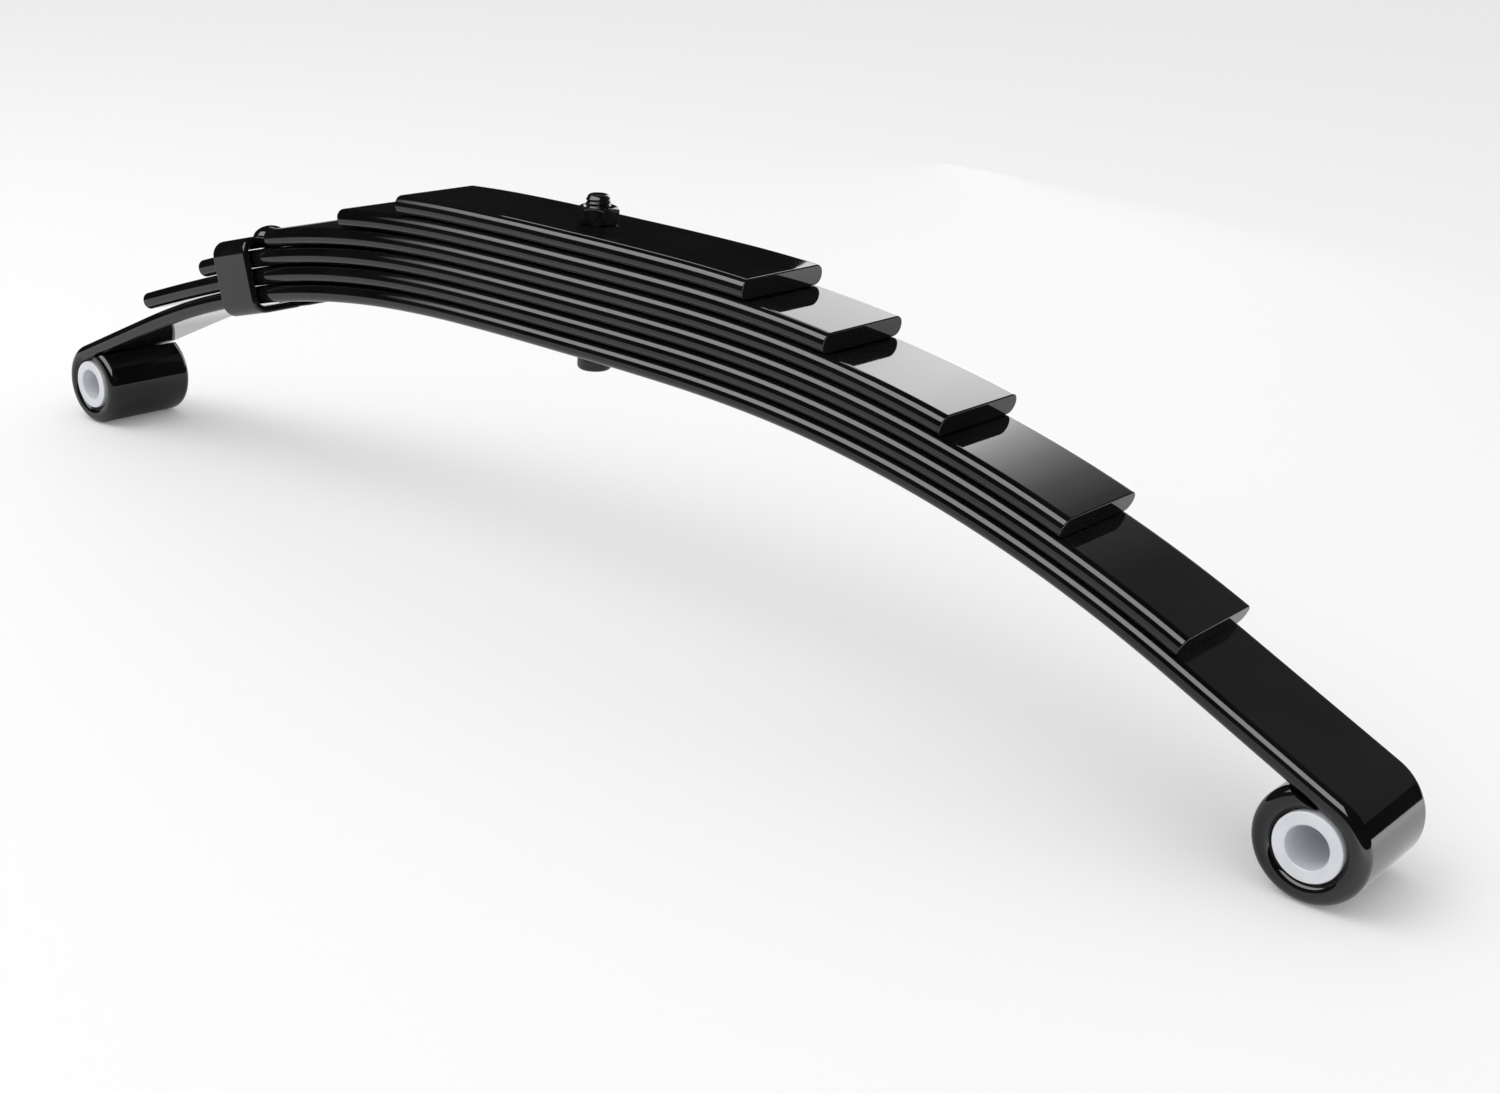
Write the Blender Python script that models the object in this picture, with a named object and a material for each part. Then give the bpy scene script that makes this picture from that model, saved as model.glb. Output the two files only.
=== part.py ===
"""A trailer leaf spring: six stepped leaves, two rolled eyes with bushes, a centre bolt and a riveted clip.

X runs along the spring, Y across it and Z up. The spring stands on its eyes, arch up, with the centre
bolt on the Z axis. The front half is at +X and the rear half, with the clip, at -X. Sizes are in metres.
"""

import math

import bmesh
import bpy
from mathutils import Matrix, Vector

# Leaves, numbered from the main leaf, which carries the eyes, up to the short one under the nut
EYE_SPACING = 0.64135  # 25 1/4 in, centre to centre
LEAF_WIDTH = 0.04445  # 1 3/4 in
LEAF_THICKNESS = 0.0076
LEAF_GAP = 0.0003
LEAF_PITCH = LEAF_THICKNESS + LEAF_GAP
LEAF_EDGE_RADIUS = 0.0034
EDGE_SEGMENTS = 2
# The underside of the main leaf from the middle out: (length, radius), where radius 0 is straight
LEAF_BENDS = ((0.0095, 0), (0.0105, 4.000), (0.037, 2.064), (0.039, 0.690), (0.600, 0.509))
MAIN_LEAF_BENT_LENGTH = 0.275  # past this the main leaf runs straight to its eyes
HALF_LENGTHS = (0.273, 0.223, 0.1725, 0.1235, 0.0885)  # leaves 2 to 6, measured along the main leaf
LEAF_COUNT = 1 + len(HALF_LENGTHS)
# The rear end of leaf 2 is bent less than the main leaf past this length, so its tip stands off
TAIL_START = 0.215
TAIL_RADIUS = 2.0

# Bushes and eyes
FIT_GAP = 0.0003
BUSH_RADIUS = 0.0114
BUSH_GAP = 0.0002
BUSH_BORE_RADIUS = 0.00715  # takes a 9/16 in shackle bolt
BUSH_CHAMFER = 0.0005
EYE_INNER_RADIUS = BUSH_RADIUS + BUSH_GAP
EYE_OUTER_RADIUS = EYE_INNER_RADIUS + LEAF_THICKNESS
EYE_OPENING = math.radians(25)  # left open between the scroll's tip and the top of the eye
EYE_LAST_TURN = math.radians(90)  # the stretch of the scroll that its slanted tip stays within
EYE_TIP_GAP = 0.0005

# Centre bolt and nut, 3/8 in
BOLT_RADIUS = 0.00476
BOLT_HEAD_RADIUS = 0.0067
BOLT_HEAD_HEIGHT = 0.0094
BOLT_END_ABOVE_LEAVES = 0.0110
NUT_ACROSS_FLATS = 0.0143
NUT_HEIGHT = 0.0065

# Clip round the three longest leaves of the rear half, and the rivet that holds it to leaf 3
CLIP_DISTANCE = 0.1935  # from the middle, along the main leaf
CLIPPED_LEAVES = 3
CLIP_WIDTH = 0.0235
CLIP_THICKNESS = 0.0030
CLIP_CLEARANCE = 0.0012
CLIP_FLAT = 0.0070  # half of the strap's flat under the rivet
CLIP_RISE = math.radians(12)
CLIP_RISE_RADIUS = 0.0120
CLIP_CORNER_RADIUS = 0.0052
CLIP_FOOT = 0.0170
RIVET_RADIUS = 0.0040
RIVET_HEAD_RADIUS = 0.0074
RIVET_HEAD_HEIGHT = 0.0064
RIVET_OFFSET = 0.0042  # from the strap's middle towards the rear eye
RIVET_SINK_RADIUS = 0.0062
RIVET_SINK_DEPTH = 0.0025

# Flex: each half turns about a point halfway out to its eye
FLEX_DISTANCE = EYE_SPACING / 4

CHORD_ERROR = 0.00006  # how far a facet may lie inside its true arc
ROUND_SEGMENTS = 32
ACROSS = Vector((0, 1, 0))
UP = Vector((0, 0, 1))
MIDDLE = Vector((0, 0, 0))


# Paths: a path is a list of (length, radius) steps


def step_on(spot, heading, axis, length, radius):
    """The place and heading after one step, and the centre and angle of its turn."""
    if not radius:
        return spot + heading * length, heading, None, 0
    centre = spot + axis.cross(heading) * radius
    turn = Matrix.Rotation(length / radius, 3, axis)
    return centre + turn @ (spot - centre), turn @ heading, centre, length / radius


def end_of(path, spot, heading, axis):
    for length, radius in path:
        spot, heading, _, _ = step_on(spot, heading, axis, length, radius)
    return spot, heading


def shortened(path, reach):
    """The path cut off at this length."""
    kept = []
    for length, radius in path:
        length = min(length, reach)
        reach -= length
        if length > 0:
            kept.append((length, radius))
    return kept


def sweep(bm, face, path, spot, heading, axis):
    """Carries a section face along a path, open behind it. Returns the last face, place and heading."""
    for length, radius in path:
        after, turned, centre, angle = step_on(spot, heading, axis, length, radius)
        if centre:
            facet = 2 * math.sqrt(2 * CHORD_ERROR / (abs(radius) + LEAF_THICKNESS))
            steps = max(1, math.ceil(abs(angle) / facet))
            swept = bmesh.ops.spin(bm, geom=[face], cent=centre, axis=axis, angle=angle, steps=steps)
            swept = swept["geom_last"]
        else:
            swept = bmesh.ops.extrude_face_region(bm, geom=[face])["geom"]
            corners = [item for item in swept if isinstance(item, bmesh.types.BMVert)]
            bmesh.ops.translate(bm, verts=corners, vec=after - spot)
        bmesh.ops.delete(bm, geom=[face], context="FACES_ONLY")
        face = next(item for item in swept if isinstance(item, bmesh.types.BMFace))
        spot, heading = after, turned
    return face, spot, heading


# The main leaf's line, which the whole spring is set out from


def leaf_point(distance):
    """A point of the main leaf's underside on the front half, and the leaf's heading there."""
    seat = UP * SEAT_HEIGHT
    return end_of(shortened(LEAF_BENDS, distance), seat, Vector((1, 0, 0)), ACROSS)


def eye_line():
    """The straight run from the last bend to the eye, and how far the eye centre lies below the seat."""
    bends = shortened(LEAF_BENDS, MAIN_LEAF_BENT_LENGTH)
    spot, heading = end_of(bends, MIDDLE, Vector((1, 0, 0)), ACROSS)
    to_centre = ACROSS.cross(heading) * EYE_INNER_RADIUS
    run = (EYE_SPACING / 2 - spot.x - to_centre.x) / heading.x
    return run, -(spot + heading * run + to_centre).z


EYE_RUN, EYE_DROP = eye_line()
SEAT_HEIGHT = EYE_OUTER_RADIUS + EYE_DROP
STACK_TOP = SEAT_HEIGHT + LEAF_COUNT * LEAF_PITCH - LEAF_GAP


# Objects and materials


def finish(name, colour, roughness, metallic=0.0):
    material = bpy.data.materials.new(name)
    material.use_nodes = True
    shader = material.node_tree.nodes["Principled BSDF"]
    shader.inputs["Base Color"].default_value = (*colour, 1)
    shader.inputs["Roughness"].default_value = roughness
    shader.inputs["Metallic"].default_value = metallic
    return material


def add_object(name, bm, material=None):
    """Turns a bmesh into a named object with smooth round faces. No material makes it a cutter."""
    bmesh.ops.recalc_face_normals(bm, faces=bm.faces)
    mesh = bpy.data.meshes.new(name)
    bm.to_mesh(mesh)
    bm.free()
    mesh.shade_smooth()
    mesh.set_sharp_from_angle(angle=math.radians(35))
    made = bpy.data.objects.new(name, mesh)
    bpy.context.scene.collection.objects.link(made)
    if material:
        mesh.materials.append(material)
    else:
        made.hide_render = True
        made.display_type = "WIRE"
    return made


def cut(target, cutter):
    boolean = target.modifiers.new("Cut_" + cutter.name, "BOOLEAN")
    boolean.operation = "DIFFERENCE"
    boolean.solver = "EXACT"
    boolean.object = cutter


def turned_piece(name, profile, material=None):
    """Spins a closed profile of (radius, height) points about the object's own Z axis."""
    bm = bmesh.new()
    corners = [bm.verts.new((radius, 0, height)) for radius, height in profile]
    edges = [bm.edges.new((corners[i - 1], corners[i])) for i in range(len(corners))]
    bmesh.ops.spin(
        bm,
        geom=corners + edges,
        cent=MIDDLE,
        axis=UP,
        angle=2 * math.pi,
        steps=ROUND_SEGMENTS,
        use_merge=True,
    )
    bmesh.ops.remove_doubles(bm, verts=bm.verts, dist=1e-6)
    on_axis = [edge for edge in bm.edges if not edge.link_faces]
    bmesh.ops.delete(bm, geom=on_axis, context="EDGES")
    return add_object(name, bm, material)


# Leaves


def rounded_section(bm, centre, across, through, width, thickness, radius):
    """A bar's section: a rectangle with rounded corners."""
    corners = [
        bm.verts.new(centre + across * (width / 2 * i) + through * (thickness / 2 * j))
        for i, j in ((-1, -1), (1, -1), (1, 1), (-1, 1))
    ]
    before = set(bm.faces)
    bm.faces.new(corners)
    bmesh.ops.bevel(
        bm,
        geom=corners,
        offset=radius,
        segments=EDGE_SEGMENTS,
        profile=0.5,
        affect="VERTICES",
        material=-1,
    )
    return max(set(bm.faces) - before, key=lambda face: face.calc_area())


def mirror_half(bm, axis):
    """Mirrors a swept half across the plane of its open end, and joins the two."""
    everything = bm.verts[:] + bm.edges[:] + bm.faces[:]
    bmesh.ops.mirror(bm, geom=everything, axis=axis, merge_dist=1e-6)
    bmesh.ops.remove_doubles(bm, verts=bm.verts, dist=1e-6)


def leaf_section(bm, number):
    """The leaf's section, standing at the middle of the spring."""
    height = SEAT_HEIGHT + (number - 1) * LEAF_PITCH + LEAF_THICKNESS / 2
    return rounded_section(
        bm, UP * height, ACROSS, UP, LEAF_WIDTH, LEAF_THICKNESS, LEAF_EDGE_RADIUS
    )


def half_leaf_path(number, side):
    """The line of one half of a stepped leaf, followed along the main leaf's underside."""
    length = HALF_LENGTHS[number - 2]
    if number > 2 or side > 0:
        return shortened(LEAF_BENDS, length)
    return shortened(LEAF_BENDS, TAIL_START) + [(length - TAIL_START, TAIL_RADIUS)]


def stepped_leaf(number, material):
    bm = bmesh.new()
    for side in (1, -1):
        face = leaf_section(bm, number)
        path = half_leaf_path(number, side)
        sweep(bm, face, path, UP * SEAT_HEIGHT, Vector((side, 0, 0)), ACROSS * side)
    bmesh.ops.remove_doubles(bm, verts=bm.verts, dist=1e-6)
    return add_object(f"leaf_{number}", bm, material)


def main_leaf(material):
    """The longest leaf. Each end is rolled into an eye, whose tip is cut to lie along the leaf."""
    bm = bmesh.new()
    face = leaf_section(bm, 1)
    path = shortened(LEAF_BENDS, MAIN_LEAF_BENT_LENGTH) + [(EYE_RUN, 0)]
    face, spot, heading = sweep(bm, face, path, UP * SEAT_HEIGHT, Vector((1, 0, 0)), ACROSS)
    outward = -ACROSS.cross(heading)
    tip_plane = spot - outward * EYE_TIP_GAP

    first_turn = 2 * math.pi - EYE_OPENING - EYE_LAST_TURN
    path = [(first_turn * EYE_INNER_RADIUS, EYE_INNER_RADIUS)]
    face, spot, heading = sweep(bm, face, path, spot, heading, ACROSS)
    before = set(bm.faces) - {face}
    path = [(EYE_LAST_TURN * EYE_INNER_RADIUS, EYE_INNER_RADIUS)]
    sweep(bm, face, path, spot, heading, ACROSS)

    tip = [item for item in bm.faces if item not in before]
    tip_edges = {edge for item in tip for edge in item.edges}
    tip_corners = {vert for item in tip for vert in item.verts}
    slanted = bmesh.ops.bisect_plane(
        bm,
        geom=tip + list(tip_edges) + list(tip_corners),
        dist=1e-7,
        plane_co=tip_plane,
        plane_no=outward,
        clear_outer=True,
    )
    rim = [item for item in slanted["geom_cut"] if isinstance(item, bmesh.types.BMEdge)]
    bmesh.ops.holes_fill(bm, edges=rim)
    mirror_half(bm, "X")
    return add_object("main_leaf", bm, material)


# Bolt, nut and bushes


def centre_bolt(material):
    bottom = SEAT_HEIGHT - FIT_GAP - BOLT_HEAD_HEIGHT
    under_head = SEAT_HEIGHT - FIT_GAP
    end = STACK_TOP + BOLT_END_ABOVE_LEAVES
    profile = [
        (0, bottom),
        (BOLT_HEAD_RADIUS, bottom),
        (BOLT_HEAD_RADIUS, under_head),
        (BOLT_RADIUS, under_head),
        (BOLT_RADIUS, end),
        (0, end),
    ]
    return turned_piece("centre_bolt", profile, material)


def centre_nut(material):
    bm = bmesh.new()
    corner_radius = NUT_ACROSS_FLATS / 2 / math.cos(math.pi / 6)
    height = STACK_TOP + FIT_GAP + NUT_HEIGHT / 2
    bmesh.ops.create_cone(
        bm,
        cap_ends=True,
        segments=6,
        radius1=corner_radius,
        radius2=corner_radius,
        depth=NUT_HEIGHT,
        matrix=Matrix.Translation(UP * height),
    )
    return add_object("centre_nut", bm, material)


def bolt_hole():
    """The cutter for the bolt's way through the leaves and the nut."""
    radius = BOLT_RADIUS + FIT_GAP
    low = SEAT_HEIGHT - LEAF_PITCH
    high = STACK_TOP + BOLT_END_ABOVE_LEAVES
    return turned_piece("bolt_hole", [(0, low), (radius, low), (radius, high), (0, high)])


def bush(name, material):
    """A plain bush, turned about Z and then laid across the spring by its rotation."""
    end = LEAF_WIDTH / 2
    chamfer = BUSH_CHAMFER
    half = [
        (BUSH_BORE_RADIUS, end - chamfer),
        (BUSH_BORE_RADIUS + chamfer, end),
        (BUSH_RADIUS - chamfer, end),
        (BUSH_RADIUS, end - chamfer),
    ]
    profile = half + [(radius, -height) for radius, height in reversed(half)]
    made = turned_piece(name, profile, material)
    made.rotation_euler.x = math.pi / 2
    return made


def flex_pivot(name, side):
    """An empty on the axis that this half of the spring flexes about, in the middle of the main leaf."""
    spot, heading = leaf_point(FLEX_DISTANCE)
    spot -= ACROSS.cross(heading) * (LEAF_THICKNESS / 2)
    pivot = bpy.data.objects.new(name, None)
    pivot.location = (side * spot.x, 0, spot.z)
    bpy.context.scene.collection.objects.link(pivot)
    return pivot


def hang_bush(made, pivot, side):
    eye = Vector((side * EYE_SPACING / 2, 0, EYE_OUTER_RADIUS))
    made.parent = pivot
    made.location = eye - pivot.location


# Clip and rivet


def clip_frame():
    """Where the clip sits: a point of the rear half's underside, and the way that its leaves face."""
    spot, heading = leaf_point(CLIP_DISTANCE)
    up = -ACROSS.cross(heading)
    return Vector((-spot.x, 0, spot.z)), Vector((-up.x, 0, up.z))


def clip_half_path():
    """The strap's middle line from the rivet round one side to the end of its foot."""
    middle = CLIP_THICKNESS / 2
    side = LEAF_WIDTH / 2 + CLIP_CLEARANCE + middle
    ease = CLIP_RISE_RADIUS * math.sin(CLIP_RISE)
    corner = CLIP_CORNER_RADIUS * (1 + math.sin(CLIP_RISE))
    slope_run = (side - CLIP_FLAT - ease - corner) / math.cos(CLIP_RISE)
    climb = CLIP_RISE_RADIUS * (1 - math.cos(CLIP_RISE)) + slope_run * math.sin(CLIP_RISE)
    top = clip_strap_height() + climb - CLIP_CORNER_RADIUS * math.cos(CLIP_RISE)
    bottom = CLIP_CORNER_RADIUS - CLIP_CLEARANCE - middle
    quarter = math.pi / 2
    return [
        (CLIP_FLAT, 0),
        (CLIP_RISE_RADIUS * CLIP_RISE, -CLIP_RISE_RADIUS),
        (slope_run, 0),
        (CLIP_CORNER_RADIUS * (quarter + CLIP_RISE), CLIP_CORNER_RADIUS),
        (top - bottom, 0),
        (CLIP_CORNER_RADIUS * quarter, CLIP_CORNER_RADIUS),
        (CLIP_FOOT, 0),
    ]


def clip_strap_height():
    """The strap's middle line above the main leaf's underside, where the rivet holds it down."""
    return CLIPPED_LEAVES * LEAF_PITCH + CLIP_THICKNESS / 2


def rebound_clip(material):
    bm = bmesh.new()
    spot, up = clip_frame()
    axis = up.cross(ACROSS)
    start = spot + up * clip_strap_height()
    face = rounded_section(
        bm, start, axis, up, CLIP_WIDTH, CLIP_THICKNESS, CLIP_THICKNESS / 4
    )
    sweep(bm, face, clip_half_path(), start, ACROSS, axis)
    mirror_half(bm, "Y")
    return add_object("rebound_clip", bm, material)


def rivet_profile(gap, foot):
    """The rivet's outline, or with a gap the outline of its hole, from a height of foot up."""
    under_head = CLIPPED_LEAVES * LEAF_PITCH + CLIP_THICKNESS + FIT_GAP
    sink_top = (CLIPPED_LEAVES - 1) * LEAF_PITCH + RIVET_SINK_DEPTH
    stem = [
        (0, foot),
        (RIVET_SINK_RADIUS + gap, foot),
        (RIVET_SINK_RADIUS + gap, sink_top - RIVET_SINK_DEPTH + FIT_GAP),
        (RIVET_RADIUS + gap, sink_top),
    ]
    if gap:
        return stem + [(RIVET_RADIUS + gap, under_head + FIT_GAP), (0, under_head + FIT_GAP)]
    dome = [(RIVET_RADIUS, under_head), (RIVET_HEAD_RADIUS - 0.0006, under_head)]
    steps = 5
    for i in range(steps + 1):
        angle = math.pi / 2 * i / steps
        radius = RIVET_HEAD_RADIUS * math.cos(angle)
        dome.append((radius, under_head + 0.0012 + (RIVET_HEAD_HEIGHT - 0.0012) * math.sin(angle)))
    return stem + dome


def place_at_clip(made):
    spot, up = clip_frame()
    spot += up.cross(ACROSS) * RIVET_OFFSET
    made.rotation_mode = "QUATERNION"
    made.rotation_quaternion = up.to_track_quat("Z", "Y")
    made.location = spot


def clip_rivet(material):
    foot = (CLIPPED_LEAVES - 1) * LEAF_PITCH + 0.0001
    made = turned_piece("clip_rivet", rivet_profile(0, foot), material)
    place_at_clip(made)
    return made


def rivet_hole():
    foot = (CLIPPED_LEAVES - 1) * LEAF_PITCH - FIT_GAP / 2
    made = turned_piece("rivet_hole", rivet_profile(FIT_GAP, foot))
    place_at_clip(made)
    return made


def build():
    for old in list(bpy.data.objects):
        bpy.data.objects.remove(old)
    paint = finish("black_gloss_paint", (0.012, 0.012, 0.013), 0.10)
    hardware = finish("black_zinc", (0.020, 0.020, 0.022), 0.30, 0.6)
    nylon = finish("white_nylon", (0.78, 0.79, 0.81), 0.45)

    leaves = [main_leaf(paint)]
    leaves += [stepped_leaf(number, paint) for number in range(2, LEAF_COUNT + 1)]
    centre_bolt(hardware)
    nut = centre_nut(hardware)
    hole = bolt_hole()
    for drilled in leaves + [nut]:
        cut(drilled, hole)

    clip = rebound_clip(paint)
    clip_rivet(paint)
    hole = rivet_hole()
    for drilled in (clip, leaves[CLIPPED_LEAVES - 1]):
        cut(drilled, hole)

    for end, side in (("front", 1), ("rear", -1)):
        pivot = flex_pivot(f"{end}_flex_pivot", side)
        hang_bush(bush(f"{end}_bush", nylon), pivot, side)


build()
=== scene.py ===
"""Looks of the trailer leaf spring: gloss black leaves, nylon bushes, centre bolt and nut, clip and rivet.

X runs along the spring, Y across it and Z up, in metres. Each leaf is two halves that meet at the centre
bolt.
"""

import math

import bmesh
import bpy
from mathutils import Matrix, Quaternion, Vector


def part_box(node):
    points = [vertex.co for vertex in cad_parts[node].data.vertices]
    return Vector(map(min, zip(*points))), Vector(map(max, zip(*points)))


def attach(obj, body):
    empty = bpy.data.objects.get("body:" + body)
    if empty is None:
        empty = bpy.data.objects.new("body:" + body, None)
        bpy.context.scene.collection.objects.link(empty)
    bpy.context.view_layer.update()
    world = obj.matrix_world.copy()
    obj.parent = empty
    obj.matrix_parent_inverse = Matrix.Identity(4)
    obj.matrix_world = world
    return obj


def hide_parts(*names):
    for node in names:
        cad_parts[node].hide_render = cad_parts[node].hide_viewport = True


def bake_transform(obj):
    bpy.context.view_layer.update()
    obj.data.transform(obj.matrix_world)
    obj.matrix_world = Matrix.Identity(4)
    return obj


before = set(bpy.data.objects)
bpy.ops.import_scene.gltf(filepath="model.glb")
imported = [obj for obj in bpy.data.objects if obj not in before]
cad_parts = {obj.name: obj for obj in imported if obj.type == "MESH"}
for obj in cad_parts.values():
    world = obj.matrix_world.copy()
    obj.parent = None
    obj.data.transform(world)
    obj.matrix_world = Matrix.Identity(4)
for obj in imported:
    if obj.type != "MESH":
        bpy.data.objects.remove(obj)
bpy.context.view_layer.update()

ACROSS = Vector((0, 1, 0))
UP = Vector((0, 0, 1))
MIDDLE = Vector((0, 0, 0))
SIDES = {"front": 1, "rear": -1}

LEAF_THICKNESS = 0.0076

# Sizes worked out from the frame
SEAT_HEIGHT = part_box("main_leaf")[1].z - LEAF_THICKNESS
STACK_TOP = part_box("leaf_6")[1].z
LEAF_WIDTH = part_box("leaf_4")[1].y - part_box("leaf_4")[0].y
EYE_CENTRE = sum(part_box("front_bush"), Vector()) / 2
BUSH_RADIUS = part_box("front_bush")[1].z - EYE_CENTRE.z
BUSH_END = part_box("front_bush")[1].y
BOLT_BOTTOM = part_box("centre_bolt")[0].z
BOLT_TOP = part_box("centre_bolt")[1].z
BOLT_HEAD_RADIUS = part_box("centre_bolt")[1].x

# Leaves. The bends follow the main leaf's underside from the middle out, as (length, radius), and a radius
# of 0 is straight. The rear half of leaf 2 bends less from TAIL_START on, so it stands off the main leaf
LEAF_COUNT = 6
LEAF_PITCH = (STACK_TOP - SEAT_HEIGHT - LEAF_THICKNESS) / (LEAF_COUNT - 1)
LEAF_EDGE_RADIUS = 0.0036
LEAF_END_RADIUS = 0.0005
LEAF_BENDS = ((0.0095, 0), (0.0105, 4.000), (0.037, 2.064), (0.039, 0.690), (0.600, 0.509))
MAIN_LEAF_BENT_LENGTH = 0.275
HALF_LENGTHS = {2: 0.273, 3: 0.223, 4: 0.1725, 5: 0.1235, 6: 0.0885}
TAIL_START = 0.215
TAIL_RADIUS = 2.0
EDGE_SEGMENTS = 9
SOFT_SEGMENTS = 3

# Eyes and bushes
EYE_INNER_RADIUS = EYE_CENTRE.z - LEAF_THICKNESS
EYE_OPENING = math.radians(25)
EYE_LAST_TURN = math.radians(90)
EYE_TIP_GAP = 0.0005
BUSH_BORE_RADIUS = 0.00715
BUSH_END_ROUND = 0.0005

# Bolt and nut
BOLT_RADIUS = 0.00476
HOLE_CLEARANCE = 0.0003
HOLE_RADIUS = BOLT_RADIUS + HOLE_CLEARANCE
HOLE_SEGMENTS = 48
HEAD_ROUND = 0.0016
THREAD_PITCH = 0.0015875
THREAD_DEPTH = 0.00060
THREAD_FLANK = 2.4  # depths risen per pitch, where more than 2 leaves the crest flat
THREAD_TO_TIP = 0.0009
THREAD_RUN_OUT = 0.0004
RINGS_PER_PITCH = 16
TIP_CHAMFER = 0.0007
TIP_FLAT_INSET = 0.0010
TIP_EDGE = 0.0001
THREAD_SHARP_FROM = math.radians(60)
NUT_ACROSS_FLATS = 0.0143
NUT_HEIGHT = 0.0065
NUT_SOFT_EDGE = 0.00035
NUT_SOFT_FROM = math.radians(25)
NUT_CHAMFER = math.radians(30)
NUT_CHAMFER_START = 0.94  # share of the distance from the middle to a flat
NUT_BLANK = 1.05  # radius of the turned blank, as a share of the corner's
NUT_BORE_INSET = 0.0002
NUT_MOUTH = 0.0006
NUT_MOUTH_DEPTH = 0.0008

# Clip and rivet
CLIP_DISTANCE = 0.1935
CLIPPED_LEAVES = 3
CLIP_WIDTH = 0.0235
CLIP_THICKNESS = 0.0030
CLIP_EDGE_RADIUS = 0.0009
CLIP_CLEARANCE = 0.0012
CLIP_FLAT = 0.0070
CLIP_RISE = math.radians(12)
CLIP_RISE_RADIUS = 0.0120
CLIP_CORNER_RADIUS = 0.0052
CLIP_FOOT = 0.0170
RIVET_RADIUS = 0.0040
RIVET_HEAD_RADIUS = 0.0074
RIVET_HEAD_HEIGHT = 0.0064
RIVET_OFFSET = 0.0042  # from the strap's middle towards the rear eye
RIVET_RIM = 0.0012
RIVET_RIM_INSET = 0.0004
RIVET_FOOT_GAP = 0.0001
RIVET_DOME_STEPS = 14
DOME_SHARP_FROM = math.radians(50)

# How finely shapes are made, and the angle between faces from which an edge stays sharp
CHORD_ERROR = 0.000008  # how far a facet may lie inside its true arc
ROUND_SEGMENTS = 96
CORNER_STEPS = 8
SMALL_CORNER_STEPS = 5
SHARP_FROM = math.radians(35)
MERGE_DISTANCE = 1e-7
TOLERANCE = 1e-6

# Surface detail that every finish shares: noise scales, and the noise values between which it shows
CLOUD_DETAIL = 4.0
CLOUD_EDGE = (0.38, 0.62)
DOT_SCALE = 260.0
DOT_EDGE = (0.10, 0.05)
DOT_PATCH_SCALE = 90.0
DOT_PATCH_EDGE = (0.60, 0.68)
SKIN_DETAIL = 2.0
PATCH_SCALE = 55.0
PATCH_DETAIL = 5.0
PATCH_EDGE = (0.35, 0.65)

# Floor. Each pair is the places between which its reflection fades out or lights up. Both are painted into
# the floor for reflected rays only: it shows dark beyond the fades, and it has a painted glow beside the
# front eye.
FLOOR_HALF_SIZE = 9
FLOOR_GLOW = 0.14
FRONT_FADE = (-0.34, -0.44)
BACK_FADE = (0.45, 0.60)
REAR_FADE = (-0.75, -0.95)
# Painted light: where the floor glows beside the front eye, and how strongly. The glow shows only in
# reflections on the eye.
EYE_PAINTED_GLOW_SPAN = (0.30, 0.45)
EYE_PAINTED_GLOW_STRENGTH = 1.5

# Camera
CAMERA_AZIMUTH = math.radians(39.35)
CAMERA_ELEVATION = math.radians(20.37)
CAMERA_ROLL = math.radians(3.16)
CAMERA_DISTANCE = 0.7381
CAMERA_TARGET = Vector((0.0829, 0, 0.0425))
CAMERA_LENS = 47.63
CAMERA_SENSOR = 36


# Paths, each a list of (length, radius) steps


def step_on(spot, heading, axis, length, radius):
    """The place and heading after one step, and the centre and angle of its turn."""
    if not radius:
        return spot + heading * length, heading, None, 0
    centre = spot + axis.cross(heading) * radius
    turn = Matrix.Rotation(length / radius, 3, axis)
    return centre + turn @ (spot - centre), turn @ heading, centre, length / radius


def end_of(path, spot, heading, axis):
    """The place and heading at the end of a path."""
    for length, radius in path:
        spot, heading, _, _ = step_on(spot, heading, axis, length, radius)
    return spot, heading


def shortened(path, reach):
    """The part of a path that lies within a reach along it."""
    kept = []
    for length, radius in path:
        length = min(length, reach)
        reach -= length
        if length > 0:
            kept.append((length, radius))
    return kept


def sweep(bm, face, path, spot, heading, axis):
    """Carries a section face along a path, open behind it. Returns the last face, place and heading."""
    for length, radius in path:
        after, turned, centre, angle = step_on(spot, heading, axis, length, radius)
        if centre:
            facet = 2 * math.sqrt(2 * CHORD_ERROR / (abs(radius) + LEAF_THICKNESS))
            steps = max(2, math.ceil(abs(angle) / facet))
            swept = bmesh.ops.spin(bm, geom=[face], cent=centre, axis=axis, angle=angle, steps=steps)
            swept = swept["geom_last"]
        else:
            swept = bmesh.ops.extrude_face_region(bm, geom=[face])["geom"]
            corners = [item for item in swept if isinstance(item, bmesh.types.BMVert)]
            bmesh.ops.translate(bm, verts=corners, vec=after - spot)
        bmesh.ops.delete(bm, geom=[face], context="FACES_ONLY")
        face = next(item for item in swept if isinstance(item, bmesh.types.BMFace))
        spot, heading = after, turned
    return face, spot, heading


def leaf_point(distance):
    """A point of the main leaf's underside on the front half, and the leaf's heading there."""
    return end_of(shortened(LEAF_BENDS, distance), UP * SEAT_HEIGHT, Vector((1, 0, 0)), ACROSS)


# Meshes


def piece_from(bm, name, finish, sharp_from=SHARP_FROM):
    """Turns a bmesh into a smooth piece at the origin, its faces outwards and its flats kept flat."""
    bmesh.ops.remove_doubles(bm, verts=bm.verts, dist=MERGE_DISTANCE)
    bmesh.ops.recalc_face_normals(bm, faces=bm.faces)
    mesh = bpy.data.meshes.new(name)
    bm.to_mesh(mesh)
    bm.free()
    mesh.shade_smooth()
    mesh.set_sharp_from_angle(angle=sharp_from)
    mesh.materials.append(finish)
    piece = bpy.data.objects.new(name, mesh)
    bpy.context.scene.collection.objects.link(piece)
    return piece


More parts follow.
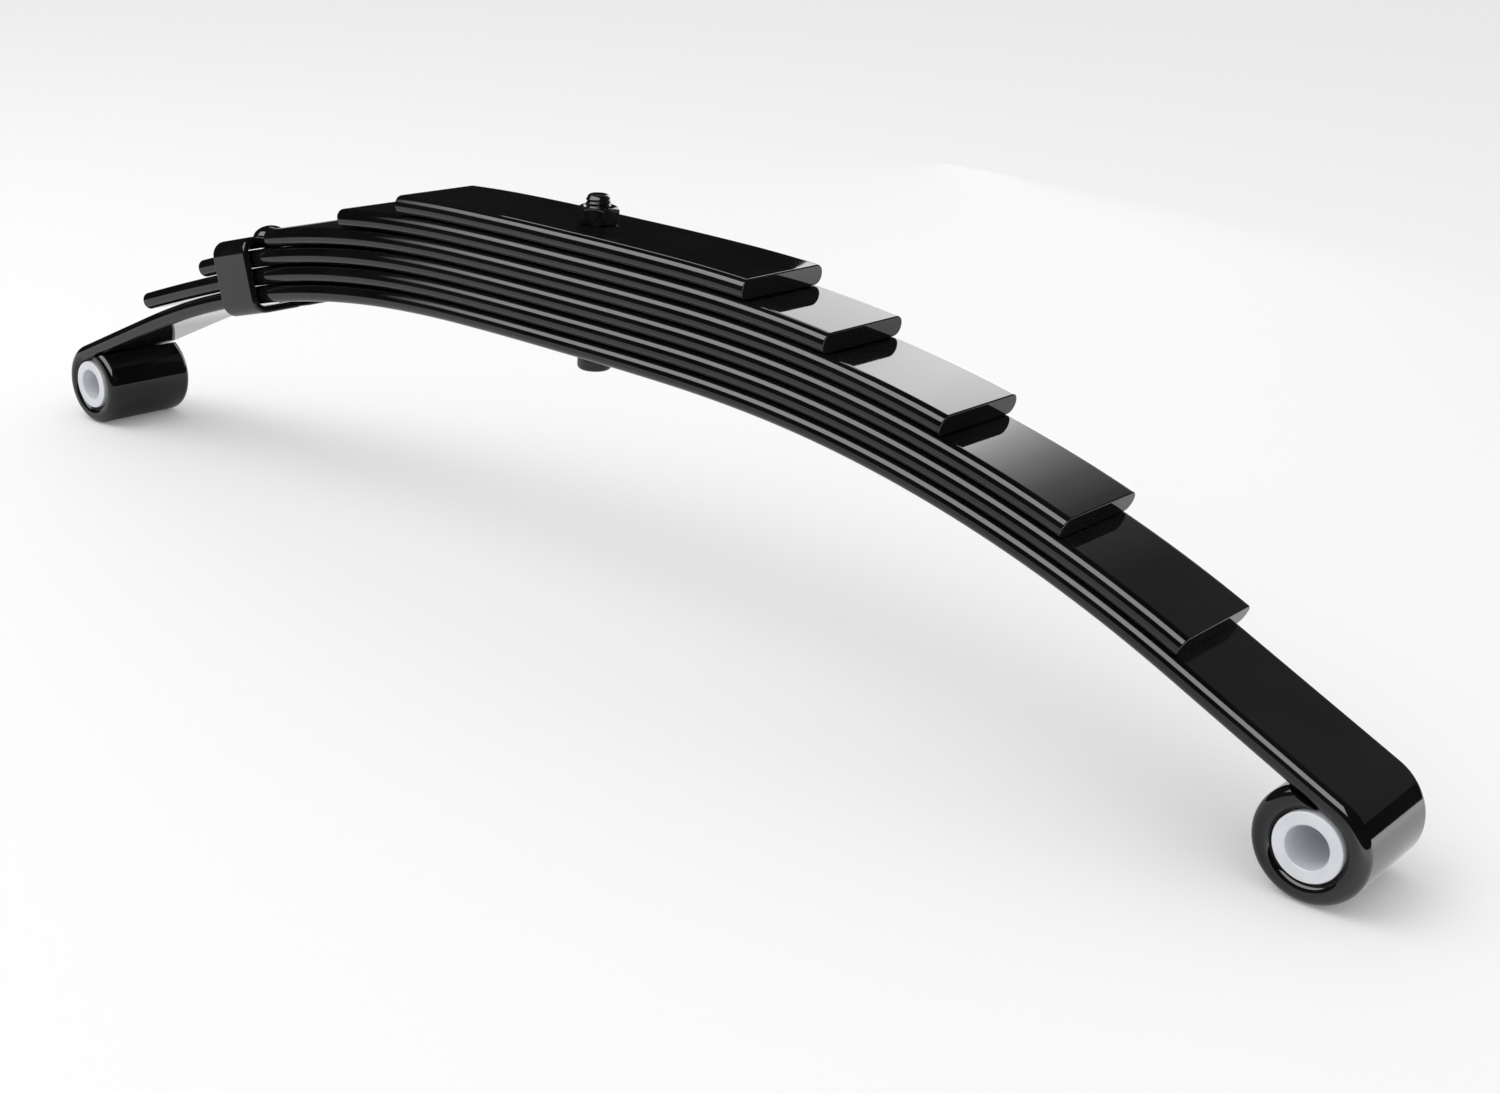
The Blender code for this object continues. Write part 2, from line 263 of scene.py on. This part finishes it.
def keep_flats_flat(piece):
    even = piece.modifiers.new("Even_flats", "WEIGHTED_NORMAL")
    even.mode = "FACE_AREA"
    even.weight = 100
    even.keep_sharp = True


def combine(piece, other, operation):
    """Cuts a piece with another, or keeps only what the two share, and removes the other."""
    boolean = piece.modifiers.new("Combine", "BOOLEAN")
    boolean.operation = operation
    boolean.solver = "EXACT"
    boolean.object = other
    graph = bpy.context.evaluated_depsgraph_get()
    made = bpy.data.meshes.new_from_object(piece.evaluated_get(graph), depsgraph=graph)
    piece.modifiers.remove(boolean)
    piece.data = made
    made.shade_smooth()
    made.set_sharp_from_angle(angle=SHARP_FROM)
    bpy.data.objects.remove(other)


def turned(bm, profile, segments=ROUND_SEGMENTS):
    """Spins a closed profile of (radius, height) points about Z."""
    corners = [bm.verts.new((radius, 0, height)) for radius, height in profile]
    edges = [bm.edges.new((corners[i - 1], corners[i])) for i in range(len(corners))]
    bmesh.ops.spin(
        bm,
        geom=corners + edges,
        cent=MIDDLE,
        axis=UP,
        angle=2 * math.pi,
        steps=segments,
        use_merge=True,
    )
    bmesh.ops.remove_doubles(bm, verts=bm.verts, dist=MERGE_DISTANCE)
    on_axis = [edge for edge in bm.edges if not edge.link_faces]
    bmesh.ops.delete(bm, geom=on_axis, context="EDGES")


def round_corner(centre, radius, start, end, steps=CORNER_STEPS):
    """Points of an arc from one angle to another, in degrees."""
    angles = [math.radians(start + (end - start) * i / steps) for i in range(steps + 1)]
    return [(centre[0] + radius * math.cos(a), centre[1] + radius * math.sin(a)) for a in angles]


def rounded_section(bm, centre, across, through, width, thickness, radius):
    """A bar's section: a rectangle with rounded corners."""
    corners = [
        bm.verts.new(centre + across * (width / 2 * i) + through * (thickness / 2 * j))
        for i, j in ((-1, -1), (1, -1), (1, 1), (-1, 1))
    ]
    before = set(bm.faces)
    bm.faces.new(corners)
    bmesh.ops.bevel(
        bm,
        geom=corners,
        offset=radius,
        segments=EDGE_SEGMENTS,
        profile=0.5,
        affect="VERTICES",
        material=-1,
    )
    return max(set(bm.faces) - before, key=lambda face: face.calc_area())


def soften_rim(bm, rim, radius):
    """Rounds the edges round a flat end."""
    bmesh.ops.bevel(
        bm,
        geom=list(rim),
        offset=radius,
        segments=SOFT_SEGMENTS,
        profile=0.5,
        affect="EDGES",
        material=-1,
    )


def close_inner_end(bm):
    open_edges = [edge for edge in bm.edges if edge.is_boundary]
    bmesh.ops.holes_fill(bm, edges=open_edges)


# Leaves


def leaf_section(bm, number):
    height = SEAT_HEIGHT + (number - 1) * LEAF_PITCH + LEAF_THICKNESS / 2
    return rounded_section(
        bm, UP * height, ACROSS, UP, LEAF_WIDTH, LEAF_THICKNESS, LEAF_EDGE_RADIUS
    )


def stepped_half(number, side):
    """One half of a shorter leaf, with its end edges just broken."""
    bm = bmesh.new()
    face = leaf_section(bm, number)
    length = HALF_LENGTHS[number]
    path = shortened(LEAF_BENDS, length)
    if number == 2 and side < 0:
        path = shortened(LEAF_BENDS, TAIL_START) + [(length - TAIL_START, TAIL_RADIUS)]
    face, _, _ = sweep(bm, face, path, UP * SEAT_HEIGHT, Vector((side, 0, 0)), ACROSS * side)
    soften_rim(bm, face.edges, LEAF_END_RADIUS)
    close_inner_end(bm)
    return bm


def main_half(side):
    """One half of the main leaf, rolled into its eye, with the scroll's tip cut along the leaf."""
    axis = ACROSS * side
    bm = bmesh.new()
    face = leaf_section(bm, 1)
    spot, heading = leaf_point(MAIN_LEAF_BENT_LENGTH)
    to_centre = ACROSS.cross(heading) * EYE_INNER_RADIUS
    eye_run = (EYE_CENTRE.x - spot.x - to_centre.x) / heading.x
    path = shortened(LEAF_BENDS, MAIN_LEAF_BENT_LENGTH) + [(eye_run, 0)]
    face, spot, heading = sweep(bm, face, path, UP * SEAT_HEIGHT, Vector((side, 0, 0)), axis)
    outward = -axis.cross(heading)
    tip_plane = spot - outward * EYE_TIP_GAP

    first_turn = 2 * math.pi - EYE_OPENING - EYE_LAST_TURN
    path = [(first_turn * EYE_INNER_RADIUS, EYE_INNER_RADIUS)]
    face, spot, heading = sweep(bm, face, path, spot, heading, axis)
    before = set(bm.faces) - {face}
    sweep(bm, face, [(EYE_LAST_TURN * EYE_INNER_RADIUS, EYE_INNER_RADIUS)], spot, heading, axis)

    tip = [item for item in bm.faces if item not in before]
    tip_edges = {edge for item in tip for edge in item.edges}
    tip_corners = {vert for item in tip for vert in item.verts}
    slanted = bmesh.ops.bisect_plane(
        bm,
        geom=tip + list(tip_edges) + list(tip_corners),
        dist=MERGE_DISTANCE,
        plane_co=tip_plane,
        plane_no=outward,
        clear_outer=True,
    )
    rim = [item for item in slanted["geom_cut"] if isinstance(item, bmesh.types.BMEdge)]
    bmesh.ops.holes_fill(bm, edges=rim)
    close_inner_end(bm)
    return bm


def bolt_hole():
    bm = bmesh.new()
    low = SEAT_HEIGHT - LEAF_PITCH
    high = STACK_TOP + LEAF_PITCH
    turned(bm, [(0, low), (HOLE_RADIUS, low), (HOLE_RADIUS, high), (0, high)], HOLE_SEGMENTS)
    return piece_from(bm, "bolt_hole", None)


def bend_with(piece):
    """Bakes a piece's placement into its mesh."""
    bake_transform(piece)


def lay_leaves(finish):
    """Every leaf as its two halves, each drilled for the centre bolt."""
    for number in range(1, LEAF_COUNT + 1):
        node = "main_leaf" if number == 1 else f"leaf_{number}"
        for end, side in SIDES.items():
            bm = main_half(side) if number == 1 else stepped_half(number, side)
            half = piece_from(bm, f"{node}_{end}_half", finish)
            combine(half, bolt_hole(), "DIFFERENCE")
            keep_flats_flat(half)
            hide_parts(node)
            bend_with(half)


# Bolt, nut, bushes


def thread_height(angle, height):
    """How far the thread stands out here, from 0 at its root to 1 at its crest."""
    along = (height / THREAD_PITCH - angle / (2 * math.pi)) % 1
    return min(1, THREAD_FLANK * min(along, 1 - along))


def centre_bolt(finish):
    """A round head under the main leaf, a plain shank through the stack and a cut thread above it."""
    root = BOLT_RADIUS - THREAD_DEPTH
    thread_start = STACK_TOP + NUT_HEIGHT / 2
    thread_end = BOLT_TOP - THREAD_TO_TIP
    rings = round((thread_end - thread_start) / THREAD_PITCH * RINGS_PER_PITCH)
    profile = [(0, BOLT_BOTTOM)]
    profile += round_corner(
        (BOLT_HEAD_RADIUS - HEAD_ROUND, BOLT_BOTTOM + HEAD_ROUND), HEAD_ROUND, -90, 0
    )
    profile += round_corner(
        (BOLT_HEAD_RADIUS - NUT_SOFT_EDGE, SEAT_HEIGHT - NUT_SOFT_EDGE), NUT_SOFT_EDGE, 0, 90, 4
    )
    profile += [(BOLT_RADIUS, SEAT_HEIGHT), (BOLT_RADIUS, thread_start - THREAD_PITCH)]
    for i in range(rings + 1):
        profile.append((root, thread_start + (thread_end - thread_start) * i / rings))
    profile += [(root - TIP_CHAMFER, BOLT_TOP - TIP_EDGE), (root - TIP_FLAT_INSET, BOLT_TOP)]
    profile += [(0, BOLT_TOP)]
    bm = bmesh.new()
    turned(bm, profile)
    for vert in bm.verts:
        if thread_start - TOLERANCE < vert.co.z < thread_end + TOLERANCE:
            out = Vector((vert.co.x, vert.co.y, 0)).normalized()
            crest = thread_height(math.atan2(vert.co.y, vert.co.x), vert.co.z)
            fade = min(1, (thread_end + THREAD_RUN_OUT - vert.co.z) / THREAD_PITCH)
            vert.co += out * THREAD_DEPTH * crest * fade
    bolt = piece_from(bm, "round_head_bolt", finish, THREAD_SHARP_FROM)
    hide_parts("centre_bolt")
    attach(bolt, "leaf_pack")


def centre_nut(finish):
    """A hexagon nut, its corners turned off top and bottom and its edges soft with paint."""
    corner = NUT_ACROSS_FLATS / 2 / math.cos(math.pi / 6)
    flat = NUT_ACROSS_FLATS / 2
    low, high = STACK_TOP, STACK_TOP + NUT_HEIGHT
    bm = bmesh.new()
    bmesh.ops.create_cone(
        bm,
        cap_ends=True,
        segments=6,
        radius1=corner,
        radius2=corner,
        depth=NUT_HEIGHT,
        matrix=Matrix.Translation(UP * (low + high) / 2),
    )
    nut = piece_from(bm, "hexagon_nut", finish)
    bore = HOLE_RADIUS - NUT_BORE_INSET
    reach = flat * NUT_CHAMFER_START
    blank = corner * NUT_BLANK
    drop = (blank - reach) * math.tan(NUT_CHAMFER)
    bm = bmesh.new()
    profile = [
        (bore, low),
        (reach, low),
        (blank, low + drop),
        (blank, high - drop),
        (reach, high),
        (HOLE_RADIUS + NUT_MOUTH, high),
        (bore, high - NUT_MOUTH_DEPTH),
    ]
    turned(bm, profile)
    combine(nut, piece_from(bm, "turned_blank", finish), "INTERSECT")
    soft = nut.modifiers.new("Soft_edges", "BEVEL")
    soft.width = NUT_SOFT_EDGE
    soft.segments = SOFT_SEGMENTS
    soft.limit_method = "ANGLE"
    soft.angle_limit = NUT_SOFT_FROM
    keep_flats_flat(nut)
    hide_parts("centre_nut")
    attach(nut, "leaf_pack")


def bushes(finish):
    """Plain nylon bushes with the edges of their ends rounded."""
    soft = BUSH_END_ROUND
    middle = BUSH_END - soft
    half = round_corner((BUSH_BORE_RADIUS + soft, middle), soft, 180, 90, SMALL_CORNER_STEPS)
    half += round_corner((BUSH_RADIUS - soft, middle), soft, 90, 0, SMALL_CORNER_STEPS)
    profile = half + [(radius, -height) for radius, height in reversed(half)]
    to_across = Matrix.Rotation(math.pi / 2, 3, "X")
    for end, side in SIDES.items():
        bm = bmesh.new()
        turned(bm, profile)
        eye = Vector((side * EYE_CENTRE.x, 0, EYE_CENTRE.z))
        bmesh.ops.rotate(bm, verts=bm.verts, cent=MIDDLE, matrix=to_across)
        bmesh.ops.translate(bm, verts=bm.verts, vec=eye)
        bush = piece_from(bm, f"{end}_nylon_bush", finish)
        keep_flats_flat(bush)
        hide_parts(f"{end}_bush")
        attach(bush, f"{end}_eye")


# Clip and rivet


def clip_frame():
    """Where the clip sits: a point of the rear half's underside, and the way that its leaves face."""
    spot, heading = leaf_point(CLIP_DISTANCE)
    up = -ACROSS.cross(heading)
    return Vector((-spot.x, 0, spot.z)), Vector((-up.x, 0, up.z))


def clip_half_path():
    """The strap's middle line from the rivet round one side to the end of its foot."""
    middle = CLIP_THICKNESS / 2
    side = LEAF_WIDTH / 2 + CLIP_CLEARANCE + middle
    ease = CLIP_RISE_RADIUS * math.sin(CLIP_RISE)
    corner = CLIP_CORNER_RADIUS * (1 + math.sin(CLIP_RISE))
    slope_run = (side - CLIP_FLAT - ease - corner) / math.cos(CLIP_RISE)
    climb = CLIP_RISE_RADIUS * (1 - math.cos(CLIP_RISE)) + slope_run * math.sin(CLIP_RISE)
    strap = CLIPPED_LEAVES * LEAF_PITCH + middle
    top = strap + climb - CLIP_CORNER_RADIUS * math.cos(CLIP_RISE)
    bottom = CLIP_CORNER_RADIUS - CLIP_CLEARANCE - middle
    quarter = math.pi / 2
    return [
        (CLIP_FLAT, 0),
        (CLIP_RISE_RADIUS * CLIP_RISE, -CLIP_RISE_RADIUS),
        (slope_run, 0),
        (CLIP_CORNER_RADIUS * (quarter + CLIP_RISE), CLIP_CORNER_RADIUS),
        (top - bottom, 0),
        (CLIP_CORNER_RADIUS * quarter, CLIP_CORNER_RADIUS),
        (CLIP_FOOT, 0),
    ]


def rebound_clip(finish):
    """A strap bent round the three longest leaves, swept from the middle of its top and mirrored."""
    spot, up = clip_frame()
    along = up.cross(ACROSS)
    start = spot + up * (CLIPPED_LEAVES * LEAF_PITCH + CLIP_THICKNESS / 2)
    bm = bmesh.new()
    face = rounded_section(
        bm, start, along, up, CLIP_WIDTH, CLIP_THICKNESS, CLIP_EDGE_RADIUS
    )
    face, _, _ = sweep(bm, face, clip_half_path(), start, ACROSS, along)
    soften_rim(bm, face.edges, LEAF_END_RADIUS)
    everything = bm.verts[:] + bm.edges[:] + bm.faces[:]
    bmesh.ops.mirror(bm, geom=everything, axis="Y", merge_dist=TOLERANCE)
    clip = piece_from(bm, "bent_clip_strap", finish)
    keep_flats_flat(clip)
    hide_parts("rebound_clip")
    bend_with(clip)


def clip_rivet(finish):
    """The rivet's stem and its domed head, which has a short upright rim."""
    foot = (CLIPPED_LEAVES - 1) * LEAF_PITCH + RIVET_FOOT_GAP
    under_head = CLIPPED_LEAVES * LEAF_PITCH + CLIP_THICKNESS
    profile = [(0, foot), (RIVET_RADIUS, foot), (RIVET_RADIUS, under_head)]
    profile += [(RIVET_HEAD_RADIUS - RIVET_RIM_INSET, under_head)]
    for i in range(RIVET_DOME_STEPS + 1):
        angle = math.pi / 2 * i / RIVET_DOME_STEPS
        height = RIVET_RIM + (RIVET_HEAD_HEIGHT - RIVET_RIM) * math.sin(angle)
        profile.append((RIVET_HEAD_RADIUS * math.cos(angle), under_head + height))
    bm = bmesh.new()
    turned(bm, profile)
    spot, up = clip_frame()
    spot += up.cross(ACROSS) * RIVET_OFFSET
    turn = up.to_track_quat("Z", "Y").to_matrix()
    bmesh.ops.rotate(bm, verts=bm.verts, cent=MIDDLE, matrix=turn)
    bmesh.ops.translate(bm, verts=bm.verts, vec=spot)
    rivet = piece_from(bm, "domed_rivet", finish, DOME_SHARP_FROM)
    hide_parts("clip_rivet")
    bend_with(rivet)


# Finishes


def feed(links, source, socket):
    """Links a node's output to a socket, or sets the socket to a number."""
    if isinstance(source, float):
        socket.default_value = source
    else:
        links.new(source, socket)


def calculated(tree, operation, first, second):
    """Two values, each a number or a node's output, made into one."""
    made = tree.nodes.new("ShaderNodeMath")
    made.operation = operation
    feed(tree.links, first, made.inputs[0])
    feed(tree.links, second, made.inputs[1])
    return made.outputs["Value"]


def surface_detail():
    """A group that every finish shares: cloudy colour, patchy roughness and a fine skin."""
    group = bpy.data.node_groups.new("surface_detail", "ShaderNodeTree")
    face = group.interface
    for name, kind, value in (
        ("Colour", "NodeSocketColor", (0.5, 0.5, 0.5, 1)),
        ("Cloud colour", "NodeSocketColor", (0.5, 0.5, 0.5, 1)),
        ("Cloud scale", "NodeSocketFloat", 30.0),
        ("Smoothest", "NodeSocketFloat", 0.1),
        ("Roughest", "NodeSocketFloat", 0.2),
        ("Skin scale", "NodeSocketFloat", 400.0),
        ("Speck colour", "NodeSocketColor", (0.5, 0.5, 0.5, 1)),
        ("Specks", "NodeSocketFloat", 0.0),
    ):
        face.new_socket(name, in_out="INPUT", socket_type=kind).default_value = value
    face.new_socket("Colour", in_out="OUTPUT", socket_type="NodeSocketColor")
    face.new_socket("Roughness", in_out="OUTPUT", socket_type="NodeSocketFloat")
    face.new_socket("Height", in_out="OUTPUT", socket_type="NodeSocketFloat")
    nodes, links = group.nodes, group.links
    given = nodes.new("NodeGroupInput")
    result = nodes.new("NodeGroupOutput")
    place = nodes.new("ShaderNodeTexCoord").outputs["Object"]

    def noise(scale, detail):
        made = nodes.new("ShaderNodeTexNoise")
        made.inputs["Detail"].default_value = detail
        links.new(place, made.inputs["Vector"])
        feed(links, scale, made.inputs["Scale"])
        return made.outputs["Fac"]

    def spread(value, low, high, to_low=0.0, to_high=1.0):
        made = nodes.new("ShaderNodeMapRange")
        made.interpolation_type = "SMOOTHSTEP"
        links.new(value, made.inputs["Value"])
        limits = {"From Min": low, "From Max": high, "To Min": to_low, "To Max": to_high}
        for socket, source in limits.items():
            feed(links, source, made.inputs[socket])
        return made.outputs["Result"]

    def mixed(factor, first, second):
        made = nodes.new("ShaderNodeMix")
        made.data_type = "RGBA"
        links.new(factor, made.inputs["Factor"])
        links.new(first, made.inputs["A"])
        links.new(second, made.inputs["B"])
        return made.outputs["Result"]

    clouds = spread(noise(given.outputs["Cloud scale"], CLOUD_DETAIL), *CLOUD_EDGE)
    colour = mixed(clouds, given.outputs["Colour"], given.outputs["Cloud colour"])
    dots = nodes.new("ShaderNodeTexVoronoi")
    dots.inputs["Scale"].default_value = DOT_SCALE
    links.new(place, dots.inputs["Vector"])
    near_dot = spread(dots.outputs["Distance"], *DOT_EDGE)
    chosen = spread(noise(DOT_PATCH_SCALE, SKIN_DETAIL), *DOT_PATCH_EDGE)
    specks = calculated(group, "MULTIPLY", near_dot, chosen)
    share = calculated(group, "MULTIPLY", specks, given.outputs["Specks"])
    speckled = mixed(share, colour, given.outputs["Speck colour"])
    links.new(speckled, result.inputs["Colour"])
    patches = noise(PATCH_SCALE, PATCH_DETAIL)
    rough = spread(patches, *PATCH_EDGE, given.outputs["Smoothest"], given.outputs["Roughest"])
    links.new(rough, result.inputs["Roughness"])
    links.new(noise(given.outputs["Skin scale"], SKIN_DETAIL), result.inputs["Height"])
    return group


def finish_from(group, name, bump, **values):
    """A material whose colour, roughness and skin come from the shared group."""
    material = bpy.data.materials.new(name)
    material.use_nodes = True
    nodes, links = material.node_tree.nodes, material.node_tree.links
    shader = nodes["Principled BSDF"]
    detail = nodes.new("ShaderNodeGroup")
    detail.node_tree = group
    for socket, value in values.items():
        detail.inputs[socket.replace("_", " ")].default_value = value
    skin = nodes.new("ShaderNodeBump")
    skin.inputs["Strength"].default_value = 1.0
    skin.inputs["Distance"].default_value = bump
    links.new(detail.outputs["Height"], skin.inputs["Height"])
    links.new(detail.outputs["Colour"], shader.inputs["Base Color"])
    links.new(detail.outputs["Roughness"], shader.inputs["Roughness"])
    links.new(skin.outputs["Normal"], shader.inputs["Normal"])
    return material


def grey(value, blue=0.0):
    return (value, value, value + blue, 1)


# Stage, lights and camera


def pale_floor():
    """A white floor, whose reflection in the spring ends a little way off, like the edge of a table, where
    it is painted dark for reflected rays. Beside the front eye it has a painted glow that only reflections
    see.
    """
    bm = bmesh.new()
    bmesh.ops.create_grid(bm, x_segments=1, y_segments=1, size=FLOOR_HALF_SIZE)
    material = bpy.data.materials.new("pale_floor")
    material.use_nodes = True
    nodes, links = material.node_tree.nodes, material.node_tree.links
    shader = nodes["Principled BSDF"]
    shader.inputs["Base Color"].default_value = grey(0.86)
    shader.inputs["Roughness"].default_value = 0.9
    shader.inputs["Specular IOR Level"].default_value = 0.1
    ray = nodes.new("ShaderNodeLightPath")
    place = nodes.new("ShaderNodeSeparateXYZ")
    links.new(nodes.new("ShaderNodeTexCoord").outputs["Object"], place.inputs["Vector"])

    def beyond(axis, start, end):
        """Goes from 0 to 1 between two places along an axis."""
        made = nodes.new("ShaderNodeMapRange")
        made.inputs["From Min"].default_value = start
        made.inputs["From Max"].default_value = end
        links.new(place.outputs[axis], made.inputs["Value"])
        return made.outputs["Result"]

    tree = material.node_tree
    in_camera = calculated(tree, "MULTIPLY", ray.outputs["Is Camera Ray"], FLOOR_GLOW)
    # Painted light: beside the front eye the floor glows for reflected rays only, a painted reflection on
    # the eye's outside.
    painted_glow_beside_eye = calculated(tree, "MULTIPLY", beyond("X", *EYE_PAINTED_GLOW_SPAN), ray.outputs["Is Glossy Ray"])
    reflected = calculated(tree, "MULTIPLY", painted_glow_beside_eye, EYE_PAINTED_GLOW_STRENGTH)
    glow = calculated(tree, "ADD", in_camera, reflected)
    shader.inputs["Emission Color"].default_value = grey(1)
    links.new(glow, shader.inputs["Emission Strength"])
    # Painted shade in reflections: beyond the fades, the floor shows dark to reflected rays only.
    outside = calculated(tree, "MAXIMUM", beyond("Y", *FRONT_FADE), beyond("Y", *BACK_FADE))
    outside = calculated(tree, "MAXIMUM", outside, beyond("X", *REAR_FADE))
    hidden = calculated(tree, "MULTIPLY", outside, ray.outputs["Is Glossy Ray"])
    dark = nodes.new("ShaderNodeBsdfDiffuse")
    dark.inputs["Color"].default_value = grey(0.02)
    choose = nodes.new("ShaderNodeMixShader")
    links.new(hidden, choose.inputs["Fac"])
    links.new(shader.outputs["BSDF"], choose.inputs[1])
    links.new(dark.outputs["BSDF"], choose.inputs[2])
    links.new(choose.outputs["Shader"], nodes["Material Output"].inputs["Surface"])
    piece_from(bm, "floor", material)


def softbox(name, place, aim, size, radiance, fade=None, lean=0, reflected=True):
    """A rectangular soft light that is either only reflected or only lights.

    A fade is a list of (share of the width, share of the radiance) points across it. Lean turns it in
    its own plane.
    """
    light = bpy.data.lights.new(name, "AREA")
    light.shape = "RECTANGLE"
    light.size, light.size_y = size
    light.energy = radiance * math.pi * size[0] * size[1]
    if fade:
        light.use_nodes = True
        nodes, links = light.node_tree.nodes, light.node_tree.links
        across = nodes.new("ShaderNodeSeparateXYZ")
        links.new(nodes.new("ShaderNodeNewGeometry").outputs["Parametric"], across.inputs["Vector"])
        ramp = nodes.new("ShaderNodeValToRGB")
        ramp.color_ramp.interpolation = "LINEAR"
        while len(ramp.color_ramp.elements) < len(fade):
            ramp.color_ramp.elements.new(0.5)
        for stop, (share, level) in zip(ramp.color_ramp.elements, fade):
            stop.position = share
            stop.color = grey(level)
        links.new(across.outputs["X"], ramp.inputs["Fac"])
        links.new(ramp.outputs["Color"], nodes["Emission"].inputs["Color"])
    lamp = bpy.data.objects.new(name, light)
    lamp.location = place
    lamp.rotation_mode = "QUATERNION"
    facing = (Vector(aim) - Vector(place)).to_track_quat("-Z", "Y")
    lamp.rotation_quaternion = facing @ Quaternion(UP, lean)
    lamp.visible_camera = False
    lamp.visible_glossy = reflected
    lamp.visible_diffuse = not reflected
    bpy.context.scene.collection.objects.link(lamp)


def studio():
    """Dark surroundings for reflections, pale ones for the rest, and the soft lights."""
    world = bpy.data.worlds.new("studio")
    bpy.context.scene.world = world
    world.use_nodes = True
    nodes, links = world.node_tree.nodes, world.node_tree.links
    ground = nodes["Background"]
    ground.inputs["Color"].default_value = grey(0.8)
    ground.inputs["Strength"].default_value = 1.0
    dark = nodes.new("ShaderNodeBackground")
    dark.inputs["Color"].default_value = grey(0.012)
    seen = nodes.new("ShaderNodeLightPath")
    rays = seen.outputs
    pale = calculated(world.node_tree, "MAXIMUM", rays["Is Camera Ray"], rays["Is Diffuse Ray"])
    choose = nodes.new("ShaderNodeMixShader")
    links.new(pale, choose.inputs["Fac"])
    links.new(dark.outputs["Background"], choose.inputs[1])
    links.new(ground.outputs["Background"], choose.inputs[2])
    links.new(choose.outputs["Shader"], nodes["World Output"].inputs["Surface"])

    softbox(
        "long_softbox",
        place=(-0.40, -0.72, 0.95),
        aim=(-0.40, 0, 0.13),
        size=(2.4, 0.85),
        radiance=5.4,
        fade=((0.0, 0.0), (0.2, 0.8), (0.4, 1.0), (1.0, 1.0)),
    )
    softbox(
        "back_panel",
        place=(0.147, 1.0, 0.70),
        aim=(0.147, 0, 0.70),
        size=(1.63, 1.1),
        radiance=3.75,
        lean=math.radians(-12.5),
        fade=(
            (0.0, 0.03),
            (0.50, 0.033),
            (0.58, 0.075),
            (0.62, 0.155),
            (0.66, 0.33),
            (0.70, 0.60),
            (0.73, 0.95),
            (0.80, 1.0),
            (0.85, 0.92),
            (0.90, 0.77),
            (1.0, 0.62),
        ),
    )
    softbox(
        "rear_strip",
        place=(-0.85, 0.70, 1.12),
        aim=(-0.85, 0, 0.15),
        size=(0.9, 0.24),
        radiance=2.2,
    )
    softbox(
        "key_softbox",
        place=(-0.7, -0.9, 1.6),
        aim=(0, 0, 0.1),
        size=(1.4, 1.4),
        radiance=1.6,
        reflected=False,
    )


def camera():
    """Looks at the spring from its front eye's side, a little above it and slightly tilted."""
    level_reach = math.cos(CAMERA_ELEVATION)
    back = Vector(
        (
            math.sin(CAMERA_AZIMUTH) * level_reach,
            -math.cos(CAMERA_AZIMUTH) * level_reach,
            math.sin(CAMERA_ELEVATION),
        )
    )
    level = UP.cross(back).normalized()
    upright = back.cross(level)
    right = level * math.cos(CAMERA_ROLL) + upright * math.sin(CAMERA_ROLL)
    data = bpy.data.cameras.new("camera")
    data.sensor_width = CAMERA_SENSOR
    data.lens = CAMERA_LENS
    made = bpy.data.objects.new("camera", data)
    turn = Matrix((right, back.cross(right), back)).transposed()
    place = CAMERA_TARGET + back * CAMERA_DISTANCE
    made.matrix_world = Matrix.Translation(place) @ turn.to_4x4()
    bpy.context.scene.collection.objects.link(made)
    bpy.context.scene.camera = made


def build():
    detail = surface_detail()
    leaf_paint = finish_from(
        detail,
        "leaf_gloss_black",
        bump=0.000004,
        Colour=grey(0.0035),
        Cloud_colour=grey(0.0060),
        Cloud_scale=26.0,
        Smoothest=0.02,
        Roughest=0.055,
        Skin_scale=520.0,
        Speck_colour=grey(0.03),
        Specks=0.35,
    )
    clip_paint = finish_from(
        detail,
        "clip_gloss_black",
        bump=0.000008,
        Colour=grey(0.0040),
        Cloud_colour=grey(0.0075),
        Cloud_scale=60.0,
        Smoothest=0.03,
        Roughest=0.07,
        Skin_scale=800.0,
        Speck_colour=grey(0.03),
        Specks=0.4,
    )
    bolt_paint = finish_from(
        detail,
        "bolt_black",
        bump=0.000003,
        Colour=grey(0.0050),
        Cloud_colour=grey(0.0120),
        Cloud_scale=240.0,
        Smoothest=0.05,
        Roughest=0.12,
        Skin_scale=700.0,
        Speck_colour=grey(0.05),
        Specks=0.5,
    )
    nylon = finish_from(
        detail,
        "bush_white_nylon",
        bump=0.00001,
        Colour=(0.71, 0.73, 0.77, 1),
        Cloud_colour=(0.76, 0.78, 0.81, 1),
        Cloud_scale=120.0,
        Smoothest=0.34,
        Roughest=0.46,
        Skin_scale=2200.0,
        Speck_colour=(0.55, 0.56, 0.60, 1),
        Specks=0.25,
    )
    shader = nylon.node_tree.nodes["Principled BSDF"]
    shader.inputs["Subsurface Weight"].default_value = 0.1
    shader.inputs["Subsurface Scale"].default_value = 0.002

    lay_leaves(leaf_paint)
    centre_bolt(bolt_paint)
    centre_nut(bolt_paint)
    bushes(nylon)
    rebound_clip(clip_paint)
    clip_rivet(clip_paint)
    pale_floor()
    studio()
    camera()
    bpy.context.scene.view_settings.view_transform = "Standard"


build()
